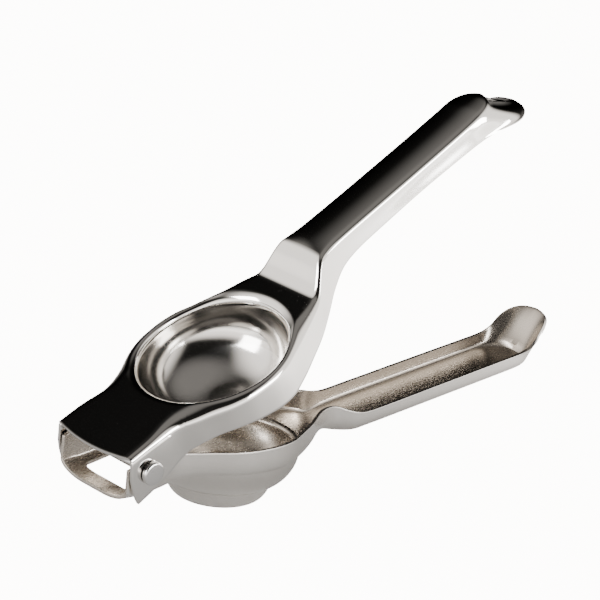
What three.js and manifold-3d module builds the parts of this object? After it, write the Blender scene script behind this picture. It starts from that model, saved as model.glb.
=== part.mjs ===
// Citrus press juicer: a press arm and a strainer arm, both stamped from sheet steel, on one hinge pin.
//
// Millimetres, +Z up. +X runs from the hinge to the handle ends. The origin is the middle of the flat
// underside of the strainer bowl. Each arm is drawn about the hinge axis in its own frame, and the
// press arm's group is then turned to its open angle.
import * as THREE from "three";
import { mergeVertices } from "three/addons/utils/BufferGeometryUtils.js";
import Module from "manifold-3d";

const wasm = await Module();
wasm.setup();

// ---- driving dimensions ----
const SHEET = 1.2; // thickness of both arms
const SLIDE = 0.55; // room between the press arm's skirt and the strainer arm's walls
const OPEN_ANGLE = 26.4; // degrees between the arms at rest
const BOWL_X = 51.6; // hinge axis to the middle of both bowls
const BASE_Z = -26.6; // underside of the strainer bowl, from the hinge axis

const PIN_RADIUS = 1.8;
const PIN_HOLE_RADIUS = 2.1;
const PIN_HEAD_RADIUS = 4.3;
const PIN_HEAD_HEIGHT = 2.1;
const PIN_HEAD_ROUND = 0.8;
const PIN_GAP = 0.3; // under each head

const EAR_HALF_WIDTH = 20.8; // outside the press arm's ears at the hinge axis
const PLATE_Z = 10.1; // top of the press arm's plate
const PLATE_CORNER_X = -5.1;
const PLATE_BOW = 3.0; // how far the plate's front edge bows out between its corners
const EAR_TIP = [-8.6, -8.4];

const DOME_RADIUS = 27.6; // inside the press bowl, below its rounded rim
const DOME_RIM_ROUND = 4.2;
const DOME_WALL_DEPTH = 6; // depth at which the wall turns into the bottom's curve
const DOME_DEPTH = 24;
const DOME_FLAT_RADIUS = 6; // flat disc at the bottom of the press bowl

const STRAINER_FLOOR_Z = -6.8; // underside of the strainer arm round its bowl
const STRAINER_BASE_RADIUS = 14;
const DRAIN_RADIUS = 1.6;
const DRAIN_PITCH = 5.2;
const DRAIN_RINGS = 2; // rings of holes, six more in each; the middle of the base is plain

const WINDOW = { front: -0.5, back: 13.5, halfWidth: 14.6, corner: 2.5 };
const STRAP_CORNER = { width: 14, height: 4.5 }; // where the strainer arm's front strap turns up
const LIP_REACH = 2.6; // how far each handle's end lip flares out

const SIDE_STEPS = 40; // segments along one side of an arm's outline
const ROUND_STEPS = 8; // segments in a quarter turn
const BOWL_SEGMENTS = 48;
const FAR = 300; // further out than any part of an arm

// Half the outer width of the press arm's skirt at distances from the hinge axis.
const PRESS_OUTLINE = [
  [-12, 20.8], [5, 20.6], [15, 19.7], [25, 24.2], [35, 29.4], [44, 31.8], [51.6, 32.2], [59, 31.2],
  [67, 28.0], [77, 23.2], [86, 19.6], [94, 15.9], [102, 12.4], [111, 10.6], [130, 10.4], [202, 10.8],
];
const PRESS_END_ROUND = 7;

// Half the outer width of the strainer arm's neck and handle. Up to its neck, it follows the inside
// of the press arm's skirt.
const STRAINER_NECK_X = 72;
const STRAINER_OUTLINE = [
  [78, 20.0], [86, 14.6], [93, 10.8], [99, 9.4], [104, 11.2], [109, 12.6], [122, 12.8], [202, 12.3],
];
const STRAINER_END_ROUND = 11.8;

// Side profiles as distance from the hinge axis and height.
const PRESS_TOP = [
  [-12, 10.1], [88, 10.1], [90.5, 10.9], [99.5, 18.4], [103, 20.0], [111, 20.6], [150, 22.2],
  [184, 23.8], [192, 23.7], [199, 21.9], [205, 18.2], [208.6, 14.0], [209.4, 11.4],
];
const PRESS_SKIRT = [
  [202, 12.2], [192, 14.6], [182, 15.0], [159, 14.6], [130, 12.8], [118, 11.8], [110, 9.9],
  [104, 6.6], [98, 3.0], [90, -0.6], [80, -3.8], [70, -5.4], [60, -5.6], [48, -4.2], [38, -2.7],
  [30, -2.1], [22, -2.9], [12, -5.2], [2, -7.3],
];
const PRESS_LIP = [[207.5, 15.4], [212, 11.4]];
const STRAINER_TOP = [
  [-8.2, 3.0], [12, 2.8], [24, 2.3], [70, 2.3], [88, 1.9], [99, 0.9], [105, -1.4], [113, -2.9],
  [194, 4.6], [199.5, 5.4], [203.5, 7.0], [206, 9.4], [208.5, 11.8], [213.8, 13.8],
];
const STRAINER_LIP = [[204, 7.4], [206, 9.4], [208.5, 11.8], [213.8, 13.8], [216.6, 15.6]];
const STRAINER_BOTTOM = [
  [213.8, 12.6], [212.0, 9.6], [209.8, 6.4], [207.2, 3.4], [203.6, 0.6], [199.4, -0.9], [194, -1.6],
  [114, -9.4], [106, -10.1], [101, -9.4], [93, -7.2], [88, -6.8], [34, -6.8], [24, -7.4],
  [16, -8.8], [8, -10.8], [0, -12.2], [-8.2, -12.2],
];

// Outer face of the strainer bowl as radius and height: a bulged wall, a step and a smaller pan.
const STRAINER_BOWL = [
  [28.6, -6.8], [28.5, -9.0], [27.6, -12.0], [25.9, -15.0], [23.4, -17.6], [21.0, -19.2],
  [19.9, -20.2], [19.4, -21.8], [18.3, -23.8], [16.6, -25.6], [STRAINER_BASE_RADIUS, BASE_Z],
];

const POLISHED = { color: 0xc9c9cb, metalness: 1, roughness: 0.08 };
const SATIN = { color: 0xb8b2aa, metalness: 1, roughness: 0.3 };

// ---- solids ----

// A three.js geometry as a manifold solid, with its seams merged and the flat triangles at poles left out.
function solidOf(geometry) {
  geometry.deleteAttribute("normal");
  geometry.deleteAttribute("uv");
  const merged = mergeVertices(geometry, 1e-4);
  const corners = merged.index.array;
  const triangles = [];
  for (let i = 0; i < corners.length; i += 3) {
    const [a, b, c] = corners.slice(i, i + 3);
    if (a !== b && b !== c && c !== a) triangles.push(a, b, c);
  }
  return new wasm.Manifold(
    new wasm.Mesh({
      numProp: 3,
      vertProperties: merged.attributes.position.array,
      triVerts: new Uint32Array(triangles),
    }),
  );
}

// A manifold solid as a named three.js mesh.
function meshOf(solid, name, finish) {
  const made = solid.getMesh();
  const geometry = new THREE.BufferGeometry();
  geometry.setAttribute("position", new THREE.BufferAttribute(made.vertProperties, 3));
  geometry.setIndex(new THREE.BufferAttribute(made.triVerts, 1));
  geometry.computeVertexNormals();
  const mesh = new THREE.Mesh(geometry, new THREE.MeshStandardMaterial(finish));
  mesh.name = name;
  return mesh;
}

// An outline in X and Y, extruded from one height to another.
function prism(points, low = -FAR, high = FAR) {
  const geometry = new THREE.ExtrudeGeometry(new THREE.Shape(points), {
    depth: high - low,
    bevelEnabled: false,
  });
  return solidOf(geometry.translate(0, 0, low));
}

// A side profile in X and Z, extruded across the arm.
function sidePrism(points, right = -FAR, left = FAR) {
  const geometry = new THREE.ExtrudeGeometry(new THREE.Shape(points), {
    depth: left - right,
    bevelEnabled: false,
  });
  return solidOf(geometry.rotateX(Math.PI / 2).translate(0, left, 0));
}

// A profile of radius and height, turned about the vertical axis of the bowls.
function turned(profile) {
  const geometry = new THREE.LatheGeometry(profile, BOWL_SEGMENTS);
  return solidOf(geometry.rotateX(Math.PI / 2).translate(BOWL_X, 0, 0));
}

// A round bar along the hinge axis.
function hingeBar(radius) {
  return solidOf(new THREE.CylinderGeometry(radius, radius, 2 * FAR, 4 * ROUND_STEPS));
}

// ---- outlines ----

function point(x, y) {
  return new THREE.Vector2(x, y);
}

function points(pairs) {
  return pairs.map(([x, y]) => point(x, y));
}

// An open line moved to its left, as it is walked, by a distance.
function shifted(line, distance) {
  return line.map((at, i) => {
    const before = line[Math.max(i - 1, 0)];
    const after = line[Math.min(i + 1, line.length - 1)];
    const along = after.clone().sub(before).normalize();
    return point(at.x - along.y * distance, at.y + along.x * distance);
  });
}

// The rounded corner from the end of a handle's straight side towards the middle of its end.
function endCorner(start, round) {
  const corner = [];
  for (let i = 1; i <= ROUND_STEPS; i += 1) {
    const turn = ((Math.PI / 2) * i) / ROUND_STEPS;
    corner.push(point(start.x + round * Math.sin(turn), start.y - round * (1 - Math.cos(turn))));
  }
  return corner;
}

// A whole outline from the points of its left side.
function mirrored(side) {
  const right = side.map((at) => point(at.x, -at.y)).reverse();
  return [...side, ...right];
}

// The left side of the press arm seen from above, moved in by an inset.
function pressSide(inset) {
  const side = new THREE.SplineCurve(points(PRESS_OUTLINE)).getSpacedPoints(SIDE_STEPS);
  const whole = [...side, ...endCorner(side[side.length - 1], PRESS_END_ROUND)];
  return shifted(whole, -inset);
}

// The left side of the strainer arm seen from above, moved in by an inset.
function strainerSide(inset) {
  const head = pressSide(SHEET + SLIDE).filter((at) => at.x < STRAINER_NECK_X);
  const join = [...head, ...points(STRAINER_OUTLINE)];
  const side = new THREE.SplineCurve(join).getSpacedPoints(SIDE_STEPS);
  const whole = [...side, ...endCorner(side[side.length - 1], STRAINER_END_ROUND)];
  return shifted(whole, -inset);
}

// A flared lip between one side of a handle's outline and a wider one: a band of the side profile.
function endLip(side, wider, band) {
  return prism(mirrored(wider))
    .subtract(prism(mirrored(shifted(side, -SHEET / 2))))
    .intersect(sidePrism([...shifted(band, -SHEET), ...band.slice().reverse()]));
}

// ---- press arm ----

// The space under the press arm's sheet, open at the front and below.
function pressHollow() {
  const roof = shifted(points(PRESS_TOP), -SHEET);
  const end = roof[roof.length - 1];
  const profile = [point(-FAR, roof[0].y), ...roof, point(end.x, -FAR), point(-FAR, -FAR)];
  return sidePrism(profile).intersect(prism(mirrored(pressSide(SHEET))));
}

// What the bowed front edge of the plate and the slanted front edges of the ears leave out.
function pressFront() {
  const bow = new THREE.QuadraticBezierCurve(
    point(PLATE_CORNER_X, -EAR_HALF_WIDTH),
    point(PLATE_CORNER_X - 2 * PLATE_BOW, 0),
    point(PLATE_CORNER_X, EAR_HALF_WIDTH),
  );
  const ahead = points([[PLATE_CORNER_X, FAR], [-FAR, FAR], [-FAR, -FAR], [PLATE_CORNER_X, -FAR]]);
  const plateFront = prism([...bow.getPoints(2 * ROUND_STEPS), ...ahead], PLATE_Z - 2 * SHEET);
  const slant = new THREE.QuadraticBezierCurve(
    point(PLATE_CORNER_X, PLATE_Z),
    point(EAR_TIP[0] - 1, PLATE_Z / 2 + EAR_TIP[1] / 2),
    point(...EAR_TIP),
  );
  const before = points([[-FAR, EAR_TIP[1]], [-FAR, PLATE_Z]]);
  const earFront = [...slant.getPoints(ROUND_STEPS), ...before];
  const inside = EAR_HALF_WIDTH - 1.2 * SHEET;
  return plateFront.add(sidePrism(earFront, inside, FAR)).add(sidePrism(earFront, -FAR, -inside));
}

// The press bowl's face as radius and height: its inner face, or its outer face at the sheet's thickness.
function domeFace(offset) {
  const face = [];
  const round = DOME_RIM_ROUND - offset;
  for (let i = 0; i <= ROUND_STEPS / 2; i += 1) {
    const turn = (Math.PI * i) / ROUND_STEPS;
    face.push(point(
      DOME_RADIUS + DOME_RIM_ROUND - round * Math.sin(turn),
      PLATE_Z - DOME_RIM_ROUND + round * Math.cos(turn),
    ));
  }
  const across = DOME_RADIUS - DOME_FLAT_RADIUS + offset;
  const down = DOME_DEPTH - DOME_WALL_DEPTH + offset;
  for (let i = 0; i <= ROUND_STEPS; i += 1) {
    const turn = ((Math.PI / 2) * i) / ROUND_STEPS;
    face.push(point(
      DOME_FLAT_RADIUS + across * Math.cos(turn),
      PLATE_Z - DOME_WALL_DEPTH - down * Math.sin(turn),
    ));
  }
  return face;
}

// A face and everything inside it, from its bottom up to a height, turned about the bowl's axis.
function bowl(face, top) {
  const rim = face[0];
  const bottom = face[face.length - 1];
  return turned([point(0, bottom.y), ...face.slice().reverse(), point(rim.x, top), point(0, top)]);
}

function pressArm() {
  const profile = [...points(PRESS_TOP), ...points(PRESS_SKIRT), point(...EAR_TIP), point(-12, EAR_TIP[1])];
  const side = pressSide(0);
  const shell = sidePrism(profile).intersect(prism(mirrored(side))).subtract(pressHollow());
  const solid = shell
    .add(endLip(side, shifted(side, LIP_REACH), points(PRESS_LIP)))
    .add(bowl(domeFace(SHEET), PLATE_Z - SHEET / 2))
    .subtract(bowl(domeFace(0), FAR))
    .subtract(pressFront())
    .subtract(hingeBar(PIN_HOLE_RADIUS));
  return meshOf(solid, "press_arm", POLISHED);
}

// ---- strainer arm ----

// The space inside the strainer arm's walls, open at the front and above.
function strainerHollow() {
  const floor = shifted(points(STRAINER_BOTTOM), -SHEET);
  const front = floor[floor.length - 1];
  const profile = [point(floor[0].x, FAR), ...floor, point(-FAR, front.y), point(-FAR, FAR)];
  return sidePrism(profile)
    .intersect(prism(mirrored(strainerSide(SHEET))))
    .intersect(strapSection(SHEET));
}

// The window cut through the floor between the front strap and the bowl.
function windowCut() {
  const { front, back, halfWidth, corner } = WINDOW;
  const shape = new THREE.Shape();
  shape.moveTo(front + corner, -halfWidth);
  shape.lineTo(back - corner, -halfWidth);
  shape.absarc(back - corner, corner - halfWidth, corner, -Math.PI / 2, 0);
  shape.absarc(back - corner, halfWidth - corner, corner, 0, Math.PI / 2);
  shape.absarc(front + corner, halfWidth - corner, corner, Math.PI / 2, Math.PI);
  shape.absarc(front + corner, corner - halfWidth, corner, Math.PI, 1.5 * Math.PI);
  return prism(shape.getPoints(ROUND_STEPS / 2), -FAR, STRAINER_FLOOR_Z + SHEET);
}

// All the space above the floor of the front strap, which turns up into the walls at both ends.
function strapSection(inset) {
  const wall = EAR_HALF_WIDTH - SHEET - SLIDE;
  const floor = STRAINER_BOTTOM[STRAINER_BOTTOM.length - 1][1];
  const { width, height } = STRAP_CORNER;
  const corner = [point(floor + height, FAR)];
  for (let i = 0; i <= ROUND_STEPS; i += 1) {
    const turn = ((Math.PI / 2) * i) / ROUND_STEPS;
    corner.push(point(
      floor + height * (1 - Math.sin(turn)),
      wall - width * (1 - Math.cos(turn)),
    ));
  }
  const outline = mirrored([point(FAR, FAR), ...shifted(corner, inset)]);
  const geometry = new THREE.ExtrudeGeometry(new THREE.Shape(outline), {
    depth: 2 * FAR,
    bevelEnabled: false,
  });
  return solidOf(geometry.rotateY(-Math.PI / 2).translate(FAR, 0, 0));
}

// Round holes in rings, cut through the bottom of the bowl.
function drainHoles() {
  const holes = [];
  for (let ring = 1; ring <= DRAIN_RINGS; ring += 1) {
    const count = 6 * ring;
    for (let i = 0; i < count; i += 1) {
      const turn = (2 * Math.PI * i) / count;
      const hole = new THREE.CylinderGeometry(DRAIN_RADIUS, DRAIN_RADIUS, 8, 12).rotateX(Math.PI / 2);
      const reach = ring * DRAIN_PITCH;
      holes.push(solidOf(hole.translate(BOWL_X + reach * Math.cos(turn), reach * Math.sin(turn), BASE_Z)));
    }
  }
  return wasm.Manifold.union(holes);
}

function strainerArm() {
  const profile = [...points(STRAINER_TOP), ...points(STRAINER_BOTTOM)];
  const side = strainerSide(0);
  const wider = side.map((at) => point(at.x + LIP_REACH, at.y));
  const shell = sidePrism(profile)
    .intersect(prism(mirrored(side)))
    .intersect(strapSection(0))
    .subtract(strainerHollow())
    .subtract(windowCut())
    .add(endLip(side, wider, points(STRAINER_LIP)));
  const face = points(STRAINER_BOWL);
  const solid = shell
    .add(bowl(face, STRAINER_FLOOR_Z + SHEET))
    .subtract(bowl([...shifted(face, -SHEET), point(0, BASE_Z + SHEET)], FAR))
    .subtract(drainHoles())
    .subtract(hingeBar(PIN_HOLE_RADIUS));
  return meshOf(solid, "strainer_arm", SATIN);
}

// ---- hinge pin ----

function hingePin() {
  const under = EAR_HALF_WIDTH + PIN_GAP;
  const top = under + PIN_HEAD_HEIGHT;
  const half = [point(PIN_RADIUS, under), point(PIN_HEAD_RADIUS, under)];
  for (let i = 0; i <= ROUND_STEPS / 2; i += 1) {
    const turn = (Math.PI * i) / ROUND_STEPS;
    half.push(point(
      PIN_HEAD_RADIUS - PIN_HEAD_ROUND * (1 - Math.cos(turn)),
      top - PIN_HEAD_ROUND * (1 - Math.sin(turn)),
    ));
  }
  half.push(point(0, top));
  const otherHalf = half.map((at) => point(at.x, -at.y)).reverse();
  const pin = new THREE.LatheGeometry([...otherHalf, ...half], 4 * ROUND_STEPS);
  return meshOf(solidOf(pin), "hinge_pin", POLISHED);
}

// ---- assembly ----

const strainerGroup = new THREE.Group();
strainerGroup.position.set(-BOWL_X, 0, -BASE_Z);
strainerGroup.add(strainerArm(), hingePin());

const pressGroup = new THREE.Group();
pressGroup.position.copy(strainerGroup.position);
pressGroup.rotation.y = -THREE.MathUtils.degToRad(OPEN_ANGLE);
pressGroup.add(pressArm());

const juicer = new THREE.Group();
juicer.add(strainerGroup, pressGroup);

export default juicer;
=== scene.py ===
"""Citrus press juicer: two arms stamped from sheet steel on one riveted hinge pin.

Each arm is drawn in millimetres about the hinge axis, as the outer face of its sheet. The face is
given its thickness, turned to the arm's place and written in metres in the part's frame.
"""
import logging
import math
from dataclasses import dataclass
from enum import Enum
from typing import Callable, Sequence

import bmesh
import bpy
import numpy as np
from mathutils import Matrix, Vector

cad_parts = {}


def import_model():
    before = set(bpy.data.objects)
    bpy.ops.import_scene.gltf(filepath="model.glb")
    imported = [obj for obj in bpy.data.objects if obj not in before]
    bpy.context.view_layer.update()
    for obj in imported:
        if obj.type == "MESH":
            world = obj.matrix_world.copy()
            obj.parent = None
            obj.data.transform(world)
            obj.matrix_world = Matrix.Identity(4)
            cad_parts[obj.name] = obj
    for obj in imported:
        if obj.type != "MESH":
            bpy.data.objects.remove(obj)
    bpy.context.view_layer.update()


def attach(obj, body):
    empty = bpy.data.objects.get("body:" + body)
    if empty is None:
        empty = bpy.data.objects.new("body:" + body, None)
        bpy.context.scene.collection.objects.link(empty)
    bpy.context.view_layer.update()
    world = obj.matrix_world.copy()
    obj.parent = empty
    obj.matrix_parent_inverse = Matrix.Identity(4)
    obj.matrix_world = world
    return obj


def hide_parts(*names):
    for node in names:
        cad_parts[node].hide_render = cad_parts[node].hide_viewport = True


LOG = logging.getLogger("juicer")
MM = 0.001
Points = Sequence[tuple[float, float]]
Rule = Callable[[np.ndarray], np.ndarray]

# The angle between the arms at rest in degrees, and lengths in millimetres about the hinge.
OPEN_ANGLE = 26.4
HINGE = (-51.6, 0.0, 26.6)
BOWL_X = 51.6
EAR_HALF_WIDTH = 20.8
PLATE_Z = 10.1
BOWL_AXIS = Vector((-math.sin(math.radians(OPEN_ANGLE)), 0, math.cos(math.radians(OPEN_ANGLE))))
BOWL_MIDDLE = (Vector(HINGE) + BOWL_X * Vector((BOWL_AXIS.z, 0, -BOWL_AXIS.x))) * MM


class Side(Enum):
    """Which way the outer face of an arm's sheet looks."""

    UP = 1
    DOWN = -1


class Line:
    """A smooth value along an arm, through listed points.

    STEP is how close together its values are kept, in millimetres, and TAILS how many times the
    smoothing distance an evened value looks to each side.
    """

    STEP = 0.1
    TAILS = 4

    def __init__(self, points: Points, smooth: float = 1.5) -> None:
        """Fits a cubic that never overshoots its points, and evens it out.

        Args:
            points: pairs of place and value, in order of place.
            smooth: how far along the arm the value is evened out, in millimetres.
        """
        place, value = np.array(points, float).T
        self.place = np.arange(place[0], place[-1] + self.STEP / 2, self.STEP)
        gap = np.diff(place)
        slope = np.diff(value) / gap
        before, after = slope[:-1], slope[1:]
        same = before * after > 0
        mean = 2 * before * after / np.where(same, before + after, 1)
        lean = np.concatenate([slope[:1], np.where(same, mean, 0), slope[-1:]])
        i = np.clip(np.searchsorted(place, self.place) - 1, 0, len(gap) - 1)
        t = np.clip((self.place - place[i]) / gap[i], 0, 1)
        self.value = ((1 + 2 * t) * (1 - t) ** 2 * value[i] + t * (1 - t) ** 2 * gap[i] * lean[i]
                      + t * t * (3 - 2 * t) * value[i + 1] + t * t * (t - 1) * gap[i] * lean[i + 1])
        if smooth > 0:
            self.value = self.evened(self.value, smooth)

    def evened(self, value: np.ndarray, smooth: float) -> np.ndarray:
        """Averages the value along the arm, and keeps its ends in line.

        Args:
            value: the value at every step.
            smooth: how far along the arm it is evened out, in millimetres.

        Returns:
            The evened value at every step.
        """
        reach = int(self.TAILS * smooth / self.STEP)
        weight = np.exp(-0.5 * (np.arange(-reach, reach + 1) * self.STEP / smooth) ** 2)
        head = 2 * value[0] - value[reach:0:-1]
        tail = 2 * value[-1] - value[-2 : -reach - 2 : -1]
        return np.convolve(np.concatenate([head, value, tail]), weight / weight.sum(), "valid")

    def __call__(self, place: np.ndarray) -> np.ndarray:
        """Returns the value at each place."""
        return np.interp(place, self.place, self.value)


def eased(value: np.ndarray, low: float, high: float) -> np.ndarray:
    """Returns 0 below low and 1 above high, with a smooth rise between them."""
    share = np.clip((np.asarray(value, float) - low) / (high - low), 0, 1)
    return share * share * (3 - 2 * share)


def bend(room: np.ndarray, reach: np.ndarray, rise: np.ndarray, turn: np.ndarray) -> np.ndarray:
    """The height lost by a sheet as it bends over an edge.

    Args:
        room: distance from the edge.
        reach: distance from the edge at which the bend starts.
        rise: height lost at the edge.
        turn: angle the sheet has turned through at the edge, in radians.

    Returns:
        The height lost at each point.
    """
    share = np.clip(1 - room / reach, 0, 1) * np.sin(turn)
    return rise * (1 - np.sqrt(1 - share**2)) / (1 - np.cos(turn))


class SheetMesh:
    """The outer face of a sheet, put together from patches that share their edges.

    Points closer than SEAM become one and edges shorter than SLIVER go, both in millimetres.
    """

    SEAM = 0.004
    SLIVER = 0.001

    def __init__(self) -> None:
        """Starts with no patch."""
        self.points: list[np.ndarray] = []
        self.faces: list[np.ndarray] = []
        self.count = 0

    def patch(self, grid: np.ndarray, closed: bool = False) -> None:
        """Adds a grid of points as quads.

        Args:
            grid: rows by columns by three, in millimetres.
            closed: whether the last column meets the first.
        """
        rows, columns = grid.shape[:2]
        at = self.count + np.arange(rows * columns).reshape(rows, columns)
        if closed:
            at = np.concatenate([at, at[:, :1]], axis=1)
        quads = np.stack([at[:-1, :-1], at[:-1, 1:], at[1:, 1:], at[1:, :-1]], axis=-1)
        self.points.append(grid.reshape(-1, 3))
        self.faces.append(quads.reshape(-1, 4))
        self.count += rows * columns

    def object(self, name: str, side: Side, place: Rule) -> bpy.types.Object:
        """Makes one object of all the patches.

        Args:
            name: the object's name.
            side: which way the face looks round the bowl's rim.
            place: turns points from the arm's millimetres to the part's metres.

        Returns:
            The object, with its faces pointing outwards.
        """
        points = np.concatenate(self.points)
        points[np.abs(points[:, 1]) < self.SEAM, 1] = 0
        mesh = bpy.data.meshes.new(name)
        mesh.from_pydata(place(points).tolist(), [], np.concatenate(self.faces).tolist())
        work = bmesh.new()
        work.from_mesh(mesh)
        bmesh.ops.remove_doubles(work, verts=work.verts, dist=self.SEAM * MM)
        bmesh.ops.dissolve_degenerate(work, edges=work.edges, dist=self.SLIVER * MM)
        bmesh.ops.recalc_face_normals(work, faces=work.faces)
        widest = max(work.faces, key=lambda face: face.calc_area())
        if widest.normal.z * side.value < 0:
            bmesh.ops.reverse_faces(work, faces=work.faces)
        work.to_mesh(mesh)
        work.free()
        made = bpy.data.objects.new(name, mesh)
        bpy.context.scene.collection.objects.link(made)
        return made


@dataclass
class Bowl:
    """The turned part of an arm, as the radius and height of the sheet's outer face."""

    centre: float
    rim_radius: float
    rim_round: float
    profile: list[tuple[float, float]]


@dataclass
class Arm:
    """One stamped arm. All its lines run along X from the hinge axis, in millimetres."""

    # How many rows of points the hinge end, the plate beside the bowl, the handle and its end have.
    HEAD_ROWS = 29
    MIDDLE_ROWS = 90
    HANDLE_ROWS = 96
    END_ROWS = 33
    # The most of the half width that a bend takes, how far the ring's close rows pass the bend, and
    # the share of the rim's radius at which the bowl starts to follow the rim's height.
    BEND_SHARE = 0.75
    RING_BEND = 1.25
    RIM_BLEND = 0.72
    # What keeps the width of the very tip from being nothing: as a share, and in millimetres.
    LEAST_SHARE = 1e-12
    LEAST_WIDTH = 0.1
    # The steps over which the outline's slope is measured.
    SQUEEZE_STEP = 0.2
    WALL_STEP = 0.05
    # The end: where it counts as square to the arm, and where its flare starts and is full.
    TIP_SHARE = 0.995
    FLARE_LEAD = 4
    FLARE_SHARE = 0.8
    END_SMOOTH = 6.0
    # How hard the wall's curve pulls at its ends, as a share of its length, and what the flare adds.
    PULL = 1 / 3
    LEAVE_MORE = 0.12
    ARRIVE_LESS = 0.3
    # How far along the arm the ear's front edge is felt.
    EAR_LENGTH = 14
    # The rounding of the cut edges: its width, its steps and the angle in degrees from which it acts.
    SOFT_EDGE = 0.22
    SOFT_STEPS = 2
    SOFT_FROM = 50

    name: str
    side: Side
    outline: Line
    level: Line
    edge_height: Line
    edge_width: Line
    bend_reach: Line
    bend_rise: Line
    bend_turn: Line
    crown: Line
    front: Rule
    ear: Rule
    bowl: Bowl
    end_start: float
    end_length: float
    end_edge: Sequence[tuple[float, float, float]]
    end_flare: float
    end_power: float
    block_low: float = 19.5
    block_high: float = 84.0
    sheet: float = 1.2

    def half_width(self, x: np.ndarray) -> np.ndarray:
        """The arm's half width, which closes to nothing round the end of the handle.

        Args:
            x: places along the arm.

        Returns:
            Half the width at the bend's outer edge.
        """
        along = np.clip((x - self.end_start) / self.end_length, 0, 1)
        share = np.maximum(1 - along**self.end_power, self.LEAST_SHARE) ** (1 / self.end_power)
        return self.outline(np.minimum(x, self.end_start)) * share

    def taper(self, x: np.ndarray, step: float) -> np.ndarray:
        """Returns how fast the half width grows along the arm, from a step to either side."""
        return (self.half_width(x + step) - self.half_width(x - step)) / (2 * step)

    def squeeze(self, x: np.ndarray) -> np.ndarray:
        """Returns how much shorter a distance to the slanted edge is than the distance across."""
        return 1 / np.sqrt(1 + self.taper(x, self.SQUEEZE_STEP) ** 2)

    def height(self, x: np.ndarray, y: np.ndarray) -> np.ndarray:
        """The height of the sheet's outer face, with its side bends, crown and rounded bowl rim.

        Args:
            x: places along the arm.
            y: places across it.

        Returns:
            The height over each point in the arm's plan.
        """
        width = self.half_width(x)
        room = np.maximum(width - np.abs(y), 0) * self.squeeze(x)
        lost = bend(room, self.bend_reach(x), self.bend_rise(x), self.bend_turn(x))
        across = np.clip(y / np.maximum(width, self.LEAST_WIDTH), -1, 1)
        crown = self.crown(x) * (1 - across**2)
        radius = np.hypot(x - self.bowl.centre, y)
        dip = bend(radius - self.bowl.rim_radius, self.bowl.rim_round, self.bowl.rim_round, np.pi / 2)
        return self.level(x) - self.side.value * lost + crown - dip

    def surface(self, x: np.ndarray, y: np.ndarray) -> np.ndarray:
        """Returns points on the outer face as an array with three numbers last."""
        return np.stack([x, y, self.height(x, y)], axis=-1)

    def across(self, x: np.ndarray, plain: int = 9, curved: int = 9) -> np.ndarray:
        """Places from one side of the arm to the other, close together where it bends.

        Args:
            x: places along the arm.
            plain: steps over each half of the flat part.
            curved: steps round the bend.

        Returns:
            One row of places across for each place along.
        """
        x = np.asarray(x, float)[..., None]
        width, turn = self.half_width(x), self.bend_turn(x)
        reach = np.minimum(self.bend_reach(x) / self.squeeze(x), self.BEND_SHARE * width)
        flat = np.linspace(0, 1, plain + 1) * (width - reach)
        angle = np.linspace(0, 1, curved + 1)[1:] * turn
        half = np.concatenate([flat, width - reach * (1 - np.sin(angle) / np.sin(turn))], axis=-1)
        return np.concatenate([-half[..., :0:-1], half], axis=-1)

    def stations(self) -> tuple[np.ndarray, np.ndarray, np.ndarray]:
        """Divides the arm along its length.

        Returns:
            The places along the hinge end, beside the bowl and along the handle.
        """
        corner = float(self.front(np.array(self.outline(np.array(0.0)))))
        head = np.linspace(corner, self.block_low, self.HEAD_ROWS)
        middle = np.linspace(self.block_low, self.block_high, self.MIDDLE_ROWS)
        handle = np.linspace(self.block_high, self.end_start, self.HANDLE_ROWS)
        turn = np.linspace(0, np.pi / 2, self.END_ROWS)[1:]
        end = self.end_start + self.end_length * np.sin(turn) ** (2 / self.end_power)
        return head, middle, np.concatenate([handle, end])

    def head_patch(self, head: np.ndarray) -> np.ndarray:
        """Lays out the hinge end, with its own front edge.

        Args:
            head: places along the hinge end.

        Returns:
            A grid of points, rows by columns by three.
        """
        corner_y = self.across(head[:1])[0]
        share = (head - head[0]) / (head[-1] - head[0])
        front = self.front(corner_y)
        x = front + (head[-1] - front) * share[:, None]
        y = np.stack([self.across(x[:, j])[:, j] for j in range(x.shape[1])], axis=1)
        return self.surface(x, y)

    def handle_patch(self, handle: np.ndarray) -> np.ndarray:
        """Returns the grid of the handle."""
        y = self.across(handle)
        return self.surface(np.broadcast_to(handle[:, None], y.shape), y)

    def ring_edge(self, middle: np.ndarray) -> np.ndarray:
        """Follows the outline of the plate round the bowl.

        Args:
            middle: places along the arm beside the bowl.

        Returns:
            The outline's points in plan, once round.
        """
        low = self.across(np.array([self.block_low]))[0]
        high = self.across(np.array([self.block_high]))[0]
        width = self.half_width(middle)
        near = np.stack([middle, -width], axis=1)
        far = np.stack([middle, width], axis=1)[::-1]
        handle_end = np.stack([np.full(high.shape, self.block_high), high], axis=1)
        hinge_end = np.stack([np.full(low.shape, self.block_low), low], axis=1)[::-1]
        return np.concatenate([near[:-1], handle_end[:-1], far[:-1], hinge_end[:-1]])

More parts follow.
